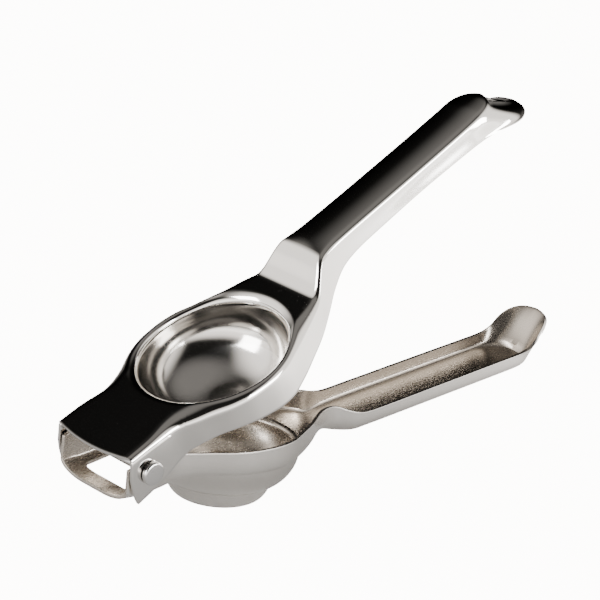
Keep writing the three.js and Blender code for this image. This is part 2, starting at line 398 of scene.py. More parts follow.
    def ring_patch(self, edge: np.ndarray, curved: int = 10, plain: int = 10) -> np.ndarray:
        """Lays out the plate between the bowl's rim and the plate's outline.

        Args:
            edge: the outline's points in plan.
            curved: steps round the rim, and round the bend at the outline.
            plain: steps over the flat part between them.

        Returns:
            A grid of points, rows by columns by three.
        """
        out = edge - [self.bowl.centre, 0]
        far = np.hypot(*out.T)
        ray = out / far[:, None]
        room = far - self.bowl.rim_radius
        turn = np.linspace(0, np.pi / 2, curved + 1)
        rim = np.minimum(self.bowl.rim_round, 0.5 * room)
        tail = np.minimum(self.bend_reach(edge[:, 0]) * self.RING_BEND, 0.5 * room)
        start = rim * (1 - np.cos(turn))[:, None]
        flat = rim + (room - rim - tail) * np.linspace(0, 1, plain + 1)[1:-1, None]
        finish = room - tail * (1 - np.sin(turn))[:, None]
        radius = self.bowl.rim_radius + np.concatenate([start, flat, finish])
        x = self.bowl.centre + radius * ray[:, 0]
        return self.surface(x, radius * ray[:, 1])

    def bowl_patch(self, edge: np.ndarray) -> np.ndarray:
        """Lays out the bowl, from its middle to its rim.

        Args:
            edge: the outline's points in plan, which give the direction of each column.

        Returns:
            A grid of points, rows by columns by three.
        """
        out = edge - [self.bowl.centre, 0]
        ray = out / np.hypot(*out.T)[:, None]
        radius, height = np.array(self.bowl.profile).T
        x = self.bowl.centre + radius[:, None] * ray[:, 0]
        y = radius[:, None] * ray[:, 1]
        wide = self.bowl.rim_radius
        rim = self.height(self.bowl.centre + wide * ray[:, 0], wide * ray[:, 1])
        share = eased(radius, self.RIM_BLEND * wide, wide)
        z = height[:, None] + share[:, None] * (rim - height[-1])
        return np.stack([x, y, z], axis=-1)

    def edge_line(self, x: np.ndarray) -> np.ndarray:
        """Follows the free edge of the wall along the left side and round the end.

        Args:
            x: places along the arm.

        Returns:
            A point in space for each place.
        """
        side = np.stack([x, self.edge_width(x), self.edge_height(x)], axis=1)
        beyond = x > self.end_start
        points = self.spread(self.end_edge)
        lines = [Line([(point[0], point[i]) for point in points], self.END_SMOOTH) for i in (1, 2, 3)]
        end = np.stack([line(self.way_round(x)) for line in lines], axis=1)
        return np.where(beyond[:, None], end, side)

    def way_round(self, x: np.ndarray) -> np.ndarray:
        """Returns how far round the end each place is, from 0 where it starts to 100 at the tip."""
        along = np.clip((x - self.end_start) / self.end_length, 0, 1)
        return np.arcsin(along ** (self.end_power / 2)) / (np.pi / 2) * 100

    @staticmethod
    def spread(points: Sequence[tuple[float, float, float]]) -> list[tuple[float, ...]]:
        """Measures how far along a run of points each of them is.

        Args:
            points: points in space.

        Returns:
            Each point with its share of the way, from 0 to 100, in front.
        """
        at = np.array(points)
        way = np.concatenate([[0], np.cumsum(np.linalg.norm(np.diff(at, axis=0), axis=1))])
        return [(share, *point) for share, point in zip(way / way[-1] * 100, at.tolist())]

    def wall_patches(self, x: np.ndarray, rows: int = 12) -> list[np.ndarray]:
        """Lays out the wall on both sides, from the bend to the free edge.

        Args:
            x: places along the arm.
            rows: steps down the wall.

        Returns:
            Two grids of points, each rows by columns by three.
        """
        start = self.surface(x, self.half_width(x))
        out = np.stack([-self.taper(x, self.WALL_STEP), np.ones_like(x)], axis=1)
        out[x > self.end_start + self.TIP_SHARE * self.end_length] = (1, 0)
        out /= np.linalg.norm(out, axis=1)[:, None]
        turn = self.bend_turn(x)
        stop = self.edge_line(x)
        long = np.linalg.norm(stop - start, axis=1)[:, None]
        leave = np.column_stack([out * np.cos(turn)[:, None], -self.side.value * np.sin(turn)])
        straight = (stop - start) / long
        flare_from = self.end_start - self.FLARE_LEAD
        flare_to = self.end_start + self.FLARE_SHARE * self.end_length
        flare = eased(x, flare_from, flare_to)[:, None] * self.end_flare
        level_out = np.column_stack([out, np.zeros(len(x))])
        arrive = straight * (1 - flare) + level_out * flare
        first = start + leave * long * (self.PULL + self.LEAVE_MORE * flare)
        last = stop - arrive * long * (self.PULL - self.ARRIVE_LESS * flare)
        t = np.linspace(0, 1, rows + 1)[:, None, None]
        grid = (1 - t) ** 3 * start + 3 * t * (1 - t) ** 2 * first + 3 * t**2 * (1 - t) * last + t**3 * stop
        grid[..., 0] += self.ear(grid[..., 2]) * (1 - eased(x, x[0], x[0] + self.EAR_LENGTH))
        return [grid, grid * (1, -1, 1)]

    def build(self, place: Rule) -> bpy.types.Object:
        """Makes the arm's sheet, with its thickness and softened edges.

        Args:
            place: turns points from the arm's millimetres to the part's metres.

        Returns:
            The arm, still with its modifiers.
        """
        head, middle, handle = self.stations()
        sheet = SheetMesh()
        sheet.patch(self.head_patch(head))
        edge = self.ring_edge(middle)
        sheet.patch(self.ring_patch(edge), closed=True)
        sheet.patch(self.bowl_patch(edge), closed=True)
        sheet.patch(self.handle_patch(handle))
        for wall in self.wall_patches(np.concatenate([head[:-1], middle[:-1], handle])):
            sheet.patch(wall)
        made = sheet.object(self.name, self.side, place)
        thick = made.modifiers.new("sheet", "SOLIDIFY")
        thick.thickness = self.sheet * MM
        thick.offset = -1
        thick.use_even_offset = True
        soften = made.modifiers.new("edges", "BEVEL")
        soften.width = self.SOFT_EDGE * MM
        soften.segments = self.SOFT_STEPS
        soften.limit_method = "ANGLE"
        soften.angle_limit = math.radians(self.SOFT_FROM)
        return made


def lathe_rows(points: Points, step: float) -> list[tuple[float, float]]:
    """Fills in a turned outline with rows close enough together to look smooth.

    Args:
        points: radius and height of the outline's corners and stretches.
        step: the longest distance between rows.

    Returns:
        Radius and height of every row.
    """
    at = np.array(points)
    way = np.concatenate([[0], np.cumsum(np.linalg.norm(np.diff(at, axis=0), axis=1))])
    rows = np.linspace(0, way[-1], int(way[-1] / step) + 1)
    radius, height = (Line(list(zip(way, at[:, i])), 0.0) for i in (0, 1))
    return [*zip(radius(rows[:-1]).tolist(), height(rows[:-1]).tolist()), points[-1]]


@dataclass(frozen=True)
class Steel:
    """A bare steel finish: how it is coloured, how sharp it reflects and how its surface is worked."""

    # The least roughness that the spread may reach.
    SHARPEST = 0.01
    # How dark the darkest cloud of colour is, and how coarse the clouds are.
    DARK_SHARE = 0.93
    CLOUD_SCALE = 60.0
    CLOUD_DETAIL = 3.0
    # The fine grain and the slow waves of the surface, with their depths in millimetres.
    GRAIN_DETAIL = 4.0
    GRAIN_DEPTH = 0.02
    WAVE_SCALE = 35.0
    WAVE_DETAIL = 1.0
    WAVE_DEPTH = 0.1

    name: str
    colour: tuple[float, float, float]
    roughness: float
    roughness_spread: float
    grain: float
    grain_scale: tuple[float, float, float]
    wave: float = 0.0
    anisotropy: float = 0.0
    turned_about: tuple[Vector, Vector] | None = None

    def ring_tangent(self, nodes: bpy.types.Nodes, links: bpy.types.NodeLinks,
                     place: bpy.types.Node) -> bpy.types.NodeSocket:
        """Finds the direction of turning marks round the axis.

        Args:
            nodes: the material's nodes.
            links: the material's links.
            place: the node that gives Object coordinates.

        Returns:
            The direction, as a world vector.
        """
        centre, axis = self.turned_about
        out, round_axis = nodes.new("ShaderNodeVectorMath"), nodes.new("ShaderNodeVectorMath")
        out.operation, round_axis.operation = "SUBTRACT", "CROSS_PRODUCT"
        links.new(place.outputs["Object"], out.inputs[0])
        out.inputs[1].default_value = centre
        round_axis.inputs[0].default_value = axis
        links.new(out.outputs[0], round_axis.inputs[1])
        world = nodes.new("ShaderNodeVectorTransform")
        world.vector_type, world.convert_from, world.convert_to = "VECTOR", "OBJECT", "WORLD"
        links.new(round_axis.outputs[0], world.inputs[0])
        return world.outputs[0]

    def material(self) -> bpy.types.Material:
        """Makes the finish as a procedural material on Object coordinates.

        Returns:
            The material.
        """
        made = bpy.data.materials.new(self.name)
        made.use_nodes = True
        nodes, links = made.node_tree.nodes, made.node_tree.links
        shader = nodes["Principled BSDF"]
        shader.inputs["Metallic"].default_value = 1.0
        place = nodes.new("ShaderNodeTexCoord")
        stretch = nodes.new("ShaderNodeMapping")
        stretch.inputs["Scale"].default_value = self.grain_scale
        links.new(place.outputs["Object"], stretch.inputs["Vector"])
        fine = self.noise(nodes, links, stretch.outputs["Vector"], 1.0, self.GRAIN_DETAIL)
        cloud = self.noise(nodes, links, place.outputs["Object"], self.CLOUD_SCALE, self.CLOUD_DETAIL)
        tone = nodes.new("ShaderNodeMix")
        tone.data_type = "RGBA"
        tone.inputs["A"].default_value = (*(c * self.DARK_SHARE for c in self.colour), 1)
        tone.inputs["B"].default_value = (*self.colour, 1)
        links.new(cloud.outputs["Fac"], tone.inputs["Factor"])
        links.new(tone.outputs["Result"], shader.inputs["Base Color"])
        rough = nodes.new("ShaderNodeMapRange")
        rough.inputs["To Min"].default_value = max(self.roughness - self.roughness_spread, self.SHARPEST)
        rough.inputs["To Max"].default_value = self.roughness + self.roughness_spread
        links.new(fine.outputs["Fac"], rough.inputs["Value"])
        links.new(rough.outputs["Result"], shader.inputs["Roughness"])
        bump = nodes.new("ShaderNodeBump")
        bump.inputs["Strength"].default_value = self.grain
        bump.inputs["Distance"].default_value = self.GRAIN_DEPTH * MM
        links.new(fine.outputs["Fac"], bump.inputs["Height"])
        links.new(bump.outputs["Normal"], shader.inputs["Normal"])
        if self.turned_about:
            shader.inputs["Anisotropic"].default_value = self.anisotropy
            links.new(self.ring_tangent(nodes, links, place), shader.inputs["Tangent"])
        if self.wave:
            ripple = self.noise(nodes, links, place.outputs["Object"], self.WAVE_SCALE, self.WAVE_DETAIL)
            swell = nodes.new("ShaderNodeBump")
            swell.inputs["Strength"].default_value = self.wave
            swell.inputs["Distance"].default_value = self.WAVE_DEPTH * MM
            links.new(ripple.outputs["Fac"], swell.inputs["Height"])
            links.new(swell.outputs["Normal"], bump.inputs["Normal"])
        return made

    @staticmethod
    def noise(nodes: bpy.types.Nodes, links: bpy.types.NodeLinks, vector: bpy.types.NodeSocket,
              scale: float, detail: float) -> bpy.types.Node:
        """Adds a noise texture.

        Args:
            nodes: the material's nodes.
            links: the material's links.
            vector: the coordinates it is read at.
            scale: how fine it is.
            detail: how many finer layers it has.

        Returns:
            The noise texture's node.
        """
        made = nodes.new("ShaderNodeTexNoise")
        made.inputs["Scale"].default_value = scale
        made.inputs["Detail"].default_value = detail
        links.new(vector, made.inputs["Vector"])
        return made


POLISHED = Steel(
    "polished_steel", colour=(0.84, 0.82, 0.79), roughness=0.09, roughness_spread=0.02,
    grain=0.01, grain_scale=(300.0, 1500.0, 1500.0), wave=0.12)
# The strainer's inner faces: satin steel in a darker, browner colour than the outside, which is painted
# shade inside the bowl.
SHADED_SATIN_INSIDE = Steel(
    "satin_steel", colour=(0.60, 0.545, 0.48), roughness=0.28, roughness_spread=0.06,
    grain=0.035, grain_scale=(350.0, 1600.0, 1600.0), wave=0.25)
SATIN_OUTSIDE = Steel(
    "satin_outside_steel", colour=(0.87, 0.84, 0.80), roughness=0.20, roughness_spread=0.05,
    grain=0.05, grain_scale=(400.0, 1800.0, 1800.0), wave=0.15)
TURNED = Steel(
    "turned_steel", colour=(0.86, 0.84, 0.81), roughness=0.13, roughness_spread=0.02,
    grain=0.03, grain_scale=(1500.0, 1500.0, 1500.0), anisotropy=0.7,
    turned_about=(BOWL_MIDDLE, BOWL_AXIS))
WALL = Steel(
    "bowl_wall_steel", colour=(0.76, 0.735, 0.70), roughness=0.13, roughness_spread=0.04,
    grain=0.03, grain_scale=(800.0, 800.0, 800.0), wave=0.6)
PIN_STEEL = Steel(
    "pin_steel", colour=(0.80, 0.79, 0.78), roughness=0.16, roughness_spread=0.05,
    grain=0.12, grain_scale=(2200.0, 2200.0, 2200.0))


@dataclass
class Perforation:
    """Round and rounded holes cut through a sheet by a Geometry Nodes tree, in millimetres.

    The window is its front, its back, half its width and its corner radius.
    """

    # The cutters of the pin holes and of the drain holes, with the count of the first ring.
    BAR_SIDES = 48
    BAR_LENGTH = 80
    DRILL_SIDES = 24
    DRILL_LENGTH = 8
    FIRST_RING = 6
    # The window's cutter: steps round a corner, its depth and how far under the hinge it starts.
    CORNER_STEPS = 10
    WINDOW_DEPTH = 9
    WINDOW_DROP = 15
    # The angle in degrees from which an edge is shaded sharp.
    SHARP_FROM = 32

    name: str
    ring_count: int = 0
    pitch: float = 5.2
    hole_radius: float = 1.6
    pin_radius: float = 2.1
    window: tuple[float, float, float, float] | None = None

    def sizes(self) -> dict[str, float]:
        """Returns the tree's named inputs and their values."""
        return {"Hole radius": self.hole_radius, "Pitch": self.pitch, "Pin radius": self.pin_radius}

    def tree(self, material: bpy.types.Material) -> bpy.types.NodeTree:
        """Builds the tree: a bar for the pin, rings of drain holes and the window, cut from the sheet.

        Args:
            material: what the finished sheet is made of.

        Returns:
            The tree, with its sizes as named inputs.
        """
        tree = bpy.data.node_groups.new(self.name, "GeometryNodeTree")
        face = tree.interface
        face.new_socket("Geometry", in_out="INPUT", socket_type="NodeSocketGeometry")
        for size in self.sizes():
            face.new_socket(size, in_out="INPUT", socket_type="NodeSocketFloat")
        face.new_socket("Geometry", in_out="OUTPUT", socket_type="NodeSocketGeometry")
        nodes, links = tree.nodes, tree.links
        take, give = nodes.new("NodeGroupInput"), nodes.new("NodeGroupOutput")
        cutters = nodes.new("GeometryNodeJoinGeometry")
        for ring in range(1, self.ring_count + 1):
            links.new(self.ring(nodes, links, take, ring), cutters.inputs[0])
        bar = nodes.new("GeometryNodeMeshCylinder")
        bar.inputs["Vertices"].default_value = self.BAR_SIDES
        bar.inputs["Depth"].default_value = self.BAR_LENGTH * MM
        links.new(take.outputs["Pin radius"], bar.inputs["Radius"])
        turned = nodes.new("GeometryNodeTransform")
        turned.inputs["Rotation"].default_value = (math.pi / 2, 0, 0)
        turned.inputs["Translation"].default_value = Vector(HINGE) * MM
        links.new(bar.outputs["Mesh"], turned.inputs["Geometry"])
        links.new(turned.outputs["Geometry"], cutters.inputs[0])
        if self.window:
            links.new(self.opening(nodes, links), cutters.inputs[0])
        real = nodes.new("GeometryNodeRealizeInstances")
        links.new(cutters.outputs[0], real.inputs[0])
        cut = nodes.new("GeometryNodeMeshBoolean")
        cut.operation = "DIFFERENCE"
        cut.solver = "EXACT"
        links.new(take.outputs["Geometry"], cut.inputs["Mesh 1"])
        links.new(real.outputs[0], cut.inputs["Mesh 2"])
        done = nodes.new("GeometryNodeRealizeInstances")
        links.new(cut.outputs["Mesh"], done.inputs[0])
        paint = nodes.new("GeometryNodeSetMaterial")
        paint.inputs["Material"].default_value = material
        links.new(done.outputs[0], paint.inputs["Geometry"])
        links.new(paint.outputs["Geometry"], give.inputs["Geometry"])
        return tree

    def ring(self, nodes: bpy.types.Nodes, links: bpy.types.NodeLinks, take: bpy.types.Node,
             ring: int) -> bpy.types.NodeSocket:
        """Makes one ring of drain hole cutters round the middle of the bowl.

        Args:
            nodes: the tree's nodes.
            links: the tree's links.
            take: the tree's input node.
            ring: which ring it is, counted from the middle.

        Returns:
            The cutters, as instances.
        """
        wide = nodes.new("ShaderNodeMath")
        wide.operation = "MULTIPLY"
        wide.inputs[1].default_value = ring
        links.new(take.outputs["Pitch"], wide.inputs[0])
        circle = nodes.new("GeometryNodeMeshCircle")
        circle.inputs["Vertices"].default_value = self.FIRST_RING * ring
        links.new(wide.outputs[0], circle.inputs["Radius"])
        drill = nodes.new("GeometryNodeMeshCylinder")
        drill.inputs["Vertices"].default_value = self.DRILL_SIDES
        drill.inputs["Depth"].default_value = self.DRILL_LENGTH * MM
        links.new(take.outputs["Hole radius"], drill.inputs["Radius"])
        copies = nodes.new("GeometryNodeInstanceOnPoints")
        links.new(circle.outputs["Mesh"], copies.inputs["Points"])
        links.new(drill.outputs["Mesh"], copies.inputs["Instance"])
        return copies.outputs["Instances"]

    def opening(self, nodes: bpy.types.Nodes, links: bpy.types.NodeLinks) -> bpy.types.NodeSocket:
        """Makes the cutter of the window in the strap: an outline with round corners, made deep.

        Args:
            nodes: the tree's nodes.
            links: the tree's links.

        Returns:
            The cutter, as a closed mesh.
        """
        front, back, half, corner = (value * MM for value in self.window)
        shape = nodes.new("GeometryNodeCurvePrimitiveQuadrilateral")
        shape.inputs["Width"].default_value = back - front
        shape.inputs["Height"].default_value = 2 * half
        fillet = nodes.new("GeometryNodeFilletCurve")
        fillet.mode = "POLY"
        fillet.inputs["Count"].default_value = self.CORNER_STEPS
        fillet.inputs["Radius"].default_value = corner
        links.new(shape.outputs["Curve"], fillet.inputs["Curve"])
        fill = nodes.new("GeometryNodeFillCurve")
        fill.mode = "NGONS"
        links.new(fillet.outputs["Curve"], fill.inputs["Curve"])
        deep = nodes.new("GeometryNodeExtrudeMesh")
        deep.inputs["Offset Scale"].default_value = self.WINDOW_DEPTH * MM
        links.new(fill.outputs["Mesh"], deep.inputs["Mesh"])
        flip = nodes.new("GeometryNodeFlipFaces")
        links.new(fill.outputs["Mesh"], flip.inputs["Mesh"])
        both = nodes.new("GeometryNodeJoinGeometry")
        links.new(deep.outputs["Mesh"], both.inputs[0])
        links.new(flip.outputs["Mesh"], both.inputs[0])
        closed = nodes.new("GeometryNodeMergeByDistance")
        links.new(both.outputs[0], closed.inputs["Geometry"])
        moved = nodes.new("GeometryNodeTransform")
        moved.inputs["Translation"].default_value = (
            HINGE[0] * MM + (front + back) / 2, 0, (HINGE[2] - self.WINDOW_DROP) * MM)
        links.new(closed.outputs["Geometry"], moved.inputs["Geometry"])
        return moved.outputs["Geometry"]

    def cut(self, piece: bpy.types.Object, material: bpy.types.Material) -> bpy.types.Object:
        """Cuts the holes and leaves the piece as a plain mesh.

        Args:
            piece: the sheet, with its modifiers still live.
            material: what the finished sheet is made of.

        Returns:
            The same piece with a finished mesh and no modifier.
        """
        holes = piece.modifiers.new("holes", "NODES")
        holes.node_group = self.tree(material)
        sizes = self.sizes()
        for item in holes.node_group.interface.items_tree:
            if item.in_out == "INPUT" and item.name in sizes:
                holes[item.identifier] = sizes[item.name] * MM
        evaluated = piece.evaluated_get(bpy.context.evaluated_depsgraph_get())
        finished = bpy.data.meshes.new_from_object(evaluated)
        piece.modifiers.clear()
        piece.data = finished
        finished.materials.clear()
        finished.materials.append(material)
        finished.polygons.foreach_set("material_index", [0] * len(finished.polygons))
        finished.polygons.foreach_set("use_smooth", [True] * len(finished.polygons))
        finished.set_sharp_from_angle(angle=math.radians(self.SHARP_FROM))
        return piece


def press_place(points: np.ndarray) -> np.ndarray:
    """Turns the press arm's points open and moves them to the part's frame.

    Args:
        points: points about the hinge, in millimetres.

    Returns:
        The points in the part's frame, in metres.
    """
    turn = math.radians(OPEN_ANGLE)
    x = points[:, 0] * math.cos(turn) - points[:, 2] * math.sin(turn)
    z = points[:, 0] * math.sin(turn) + points[:, 2] * math.cos(turn)
    return (np.stack([x, points[:, 1], z], axis=1) + HINGE) * MM


def strainer_place(points: np.ndarray) -> np.ndarray:
    """Returns the strainer arm's points moved to the part's frame, in metres."""
    return (points + HINGE) * MM


@dataclass
class PressArm:
    """The upper arm: plate, press bowl, skirt, ramp and handle, in millimetres about the hinge."""

    # The places of the bowl's two finishes among the mesh's materials.
    WALL_FACES = 1
    TURNED_FACES = 2
    # How finely the bowl is divided, and the angle in radians at which its round bottom starts.
    DISC_ROWS = 5
    DOME_ROWS = 44
    DOME_FROM = 0.03

    dome_radius: float = 27.6
    dome_depth: float = 24.0
    wall_depth: float = 6.0
    flat_radius: float = 6.0
    rim_round: float = 4.2
    turned_radius: float = 22.5
    outline: Points = (
        (-12, 20.4), (5, 20.2), (14, 19.6), (25, 23.4), (35, 28.6), (44, 31.0), (51.6, 31.4), (59, 30.4),
        (67, 27.2), (77, 22.6), (86, 18.9), (94, 14.9), (102, 11.2), (111, 9.8), (130, 9.5), (194, 9.3))
    low_outline: Points = (
        (-12, 21.0), (5, 20.8), (14, 20.1), (25, 24.4), (35, 29.4), (44, 31.8), (51.6, 32.2), (59, 31.2),
        (67, 28.0), (77, 23.5), (86, 20.0), (94, 16.2), (102, 12.6), (111, 10.9), (130, 10.6), (194, 10.7))
    top: Points = (
        (-12, 10.1), (20, 10.1), (50, 10.1), (75, 10.1), (89.6, 10.1), (90.8, 10.5), (99.7, 19.0),
        (101.3, 19.9), (111, 20.5), (130, 21.3), (150, 22.2), (170, 23.2), (184, 24.1), (190, 24.6),
        (196, 24.5), (202, 23.2))
    skirt: Points = (
        (-9, -8.5), (2, -7.3), (12, -5.2), (22, -2.9), (30, -2.1), (38, -2.7), (48, -4.2), (60, -5.6),
        (70, -5.4), (80, -3.8), (90, -0.6), (98, 3.0), (104, 6.6), (110, 9.9), (118, 11.8), (130, 12.8),
        (159, 14.6), (182, 15.0), (194, 14.4))
    bend_reach: Points = (
        (-12, 1.9), (3, 2.1), (14, 3.6), (26, 6.0), (52, 5.2), (74, 4.8), (90, 2.6), (110, 2.0), (200, 2.0))
    bend_rise: Points = (
        (-12, 1.9), (3, 2.1), (14, 3.4), (26, 4.9), (52, 4.3), (74, 4.4), (90, 2.4), (110, 1.6), (200, 1.5))
    bend_turn: Points = ((-12, 1.5), (180, 1.45), (188, 1.2), (200, 0.8))
    crown: Points = ((-12, 0), (60, 0.0), (98, 0.0), (108, 0.8), (200, 1.0))
    ear_edge: Points = (
        (-8.6, -3.4), (-7.9, -3.75), (-4.8, -3.9), (-1.4, -3.6), (2.7, -2.7), (6.0, -1.2), (9.0, 0.0))
    lip: Sequence[tuple[float, float, float]] = (
        (188.5, 10.7, 14.7), (194, 10.8, 14.1), (199, 11.0, 13.2), (203.5, 11.3, 12.4), (206.8, 11.4, 12.1),
        (209.6, 10.4, 12.2), (211.9, 8.0, 12.5), (213.2, 4.6, 12.7), (213.7, 0, 12.8))
    front_x: float = -8.1
    front_bow: float = 3.0
    disc_lift: float = 0.12
    disc_gap: float = 0.8
    wall_low: float = 5.1
    wall_margin: float = 0.2
    turned_margin: float = 1.0

    def bowl(self) -> Bowl:
        """Shapes the press bowl: a flat disc, a round bottom and a short wall.

        Returns:
            The bowl.
        """
        across, down = self.dome_radius - self.flat_radius, self.dome_depth - self.wall_depth
        bottom = PLATE_Z - self.dome_depth
        disc_edge = self.flat_radius - self.disc_gap
        disc = [(r, bottom + self.disc_lift) for r in np.linspace(0, disc_edge, self.DISC_ROWS)]
        turn = np.linspace(self.DOME_FROM, np.pi / 2, self.DOME_ROWS)
        curve = [(self.flat_radius + across * math.sin(t), PLATE_Z - self.wall_depth - down * math.cos(t))
                 for t in turn]
        wall = [(self.dome_radius, z) for z in (PLATE_Z - self.wall_low, PLATE_Z - self.rim_round)]
        return Bowl(BOWL_X, self.dome_radius, self.rim_round, [*disc, *curve, *wall])

    def front(self, y: np.ndarray) -> np.ndarray:
        """Returns where the plate's bowed front edge is."""
        return self.front_x + self.front_bow * (np.asarray(y) / EAR_HALF_WIDTH) ** 2

    def ear(self, z: np.ndarray) -> np.ndarray:
        """Returns how far the ear's front edge stands out beyond the plate's corner."""
        return np.interp(z, *np.transpose(self.ear_edge))

    def build(self) -> bpy.types.Object:
        """Makes the press arm with its pin holes.

        Returns:
            The finished press arm.
        """
        arm = Arm(
            name="press_arm_sheet", side=Side.UP,
            outline=Line(self.outline), level=Line(self.top, smooth=0.6),
            edge_height=Line(self.skirt, smooth=2.0), edge_width=Line(self.low_outline),
            bend_reach=Line(self.bend_reach), bend_rise=Line(self.bend_rise),
            bend_turn=Line(self.bend_turn, smooth=1.0), crown=Line(self.crown),
            front=self.front, ear=self.ear, bowl=self.bowl(),
            end_start=188.5, end_length=11.5, end_power=2.2, end_edge=self.lip, end_flare=0.55)
        piece = Perforation("press_holes").cut(arm.build(press_place), POLISHED.material())
        self.dress_bowl(piece.data)
        return piece

    def dress_bowl(self, mesh: bpy.types.Mesh) -> None:
        """Gives the inside of the bowl its softer wall and its turned bottom.

        Args:
            mesh: the finished press arm's mesh.
        """
        lowest = (PLATE_Z - self.rim_round - self.turned_margin) * MM
        widest = (self.dome_radius + self.wall_margin) * MM
        mesh.materials.append(WALL.material())
        mesh.materials.append(TURNED.material())
        for face in mesh.polygons:
            out = face.center - BOWL_MIDDLE
            deep = out.dot(BOWL_AXIS)
            wide = (out - deep * BOWL_AXIS).length
            if deep < lowest and wide < widest:
                turned = wide < self.turned_radius * MM
                face.material_index = self.TURNED_FACES if turned else self.WALL_FACES


@dataclass
class StrainerArm:
    """The lower arm: strap, window, drained bowl, neck and handle, in millimetres about the hinge."""

    # How finely the bowl is divided, with the step between rows in millimetres.
    PAN_ROWS = 8
    ROW_STEP = 0.6

    inside_height: float = 44.0
    outline: Points = (
        (-12, 17.9), (-8.2, 18.3), (-4, 18.9), (5, 18.9), (14, 18.3), (25, 22.2), (35, 27.5), (44, 30.0),
        (51.6, 30.4), (59, 29.4), (67, 25.8), (78, 20.0), (86, 14.6), (93, 10.8), (99, 9.4), (104, 11.0),
        (109, 12.5), (122, 12.8), (150, 12.7), (194, 12.5))
    floor: Points = (
        (-12, -12.2), (-1, -12.2), (8, -10.8), (16, -8.8), (24, -7.3), (34, -6.8), (50, -6.8), (70, -6.8),
        (87, -6.8), (93, -7.4), (101, -9.6), (107, -10.1), (114, -9.4), (150, -5.9), (186, -2.4),
        (194, -1.6), (200, -1.0), (204, -0.2), (208, 0.8))
    walls: Points = (
        (-12, 0.4), (-8.2, 0.9), (-5, 2.4), (12, 2.7), (24, 2.3), (50, 2.3), (70, 2.3), (88, 1.9),
        (99, 0.9), (105, -1.4), (112, -2.9), (125, -1.9), (150, 0.5), (175, 2.9), (194, 4.7))
    bend_reach: Points = (
        (-12, 13.0), (2, 12.0), (16, 5.0), (26, 2.2), (36, 1.5), (52, 1.5), (68, 1.6), (78, 2.4), (90, 2.8),
        (190, 2.8), (206, 4.0))
    bend_rise: Points = (
        (-12, 4.5), (2, 4.2), (16, 3.0), (26, 2.2), (36, 1.5), (52, 1.5), (68, 1.6), (78, 2.4), (90, 2.8),
        (190, 2.6), (206, 2.4))
    bend_turn: Points = ((-12, 1.5), (190, 1.5), (198, 1.42), (203, 1.1), (206, 0.76))
    crown: Points = ((-12, 0), (203, 0))
    lip: Sequence[tuple[float, float, float]] = (
        (192.5, 12.5, 4.55), (198, 12.5, 5.2), (201.5, 12.45, 6.1), (204.6, 12.2, 8.1),
        (207.4, 11.75, 10.8), (211.2, 10.1, 13.6), (214.2, 7.4, 15.0), (215.9, 4.0, 15.6),
        (216.5, 0, 15.7))
    front_x: float = -8.2
    plate_z: float = -6.8
    rim_radius: float = 28.6
    rim_round: float = 0.9
    pan_z: float = -26.6
    pan_radius: float = 13.2
    bowl_outline: Points = (
        (14.0, -26.6), (15.0, -26.5), (16.6, -25.7), (18.1, -24.0), (19.2, -21.8), (19.7, -20.5),
        (20.9, -19.2), (23.4, -17.6), (25.9, -15.0), (27.6, -12.0), (28.4, -9.4))
    window: tuple[float, float, float, float] = (-0.5, 13.5, 14.6, 2.5)

    def bowl(self) -> Bowl:
        """Shapes the strainer bowl's outer face: a bulged wall, a step and a pan with a flat base.

        Returns:
            The bowl.
        """
        rim_z = self.plate_z - self.rim_round
        rows = lathe_rows([*self.bowl_outline, (self.rim_radius, rim_z)], self.ROW_STEP)
        base = [(radius, self.pan_z) for radius in np.linspace(0, self.pan_radius, self.PAN_ROWS)]
        return Bowl(BOWL_X, self.rim_radius, self.rim_round, [*base, *rows])

    def front(self, y: np.ndarray) -> np.ndarray:
        """Returns where the strap's straight front edge is."""
        return np.full(np.shape(y), self.front_x)

    def ear(self, z: np.ndarray) -> np.ndarray:
        """Returns nothing added, because the wall's front edge is straight."""
        return np.zeros(np.shape(z))

    def build(self) -> bpy.types.Object:
        """Makes the strainer arm with its drain holes, window and pin holes.

        Returns:
            The finished strainer arm.
        """
        arm = Arm(
            name="strainer_arm_sheet", side=Side.DOWN,
            outline=Line(self.outline), level=Line(self.floor, smooth=1.2),
            edge_height=Line(self.walls, smooth=1.5), edge_width=Line(self.outline),
            bend_reach=Line(self.bend_reach), bend_rise=Line(self.bend_rise),
            bend_turn=Line(self.bend_turn, smooth=0.6), crown=Line(self.crown),
            front=self.front, ear=self.ear, bowl=self.bowl(),
            end_start=192.5, end_length=13.5, end_power=2.6, end_edge=self.lip, end_flare=0.15)
        piece = arm.build(strainer_place)
        holes = Perforation("strainer_holes", ring_count=2, window=self.window)
        piece = holes.cut(piece, SHADED_SATIN_INSIDE.material())
        # Inward faces keep the darker, browner satin colour as painted shade inside the bowl; outward faces
        # take the plain satin colour.
        piece.data.materials.append(SATIN_OUTSIDE.material())
        for face in piece.data.polygons:
            inward = Vector((0, -face.center.y, self.inside_height * MM - face.center.z))
            face.material_index = int(face.normal.dot(inward) < 0)
        return piece


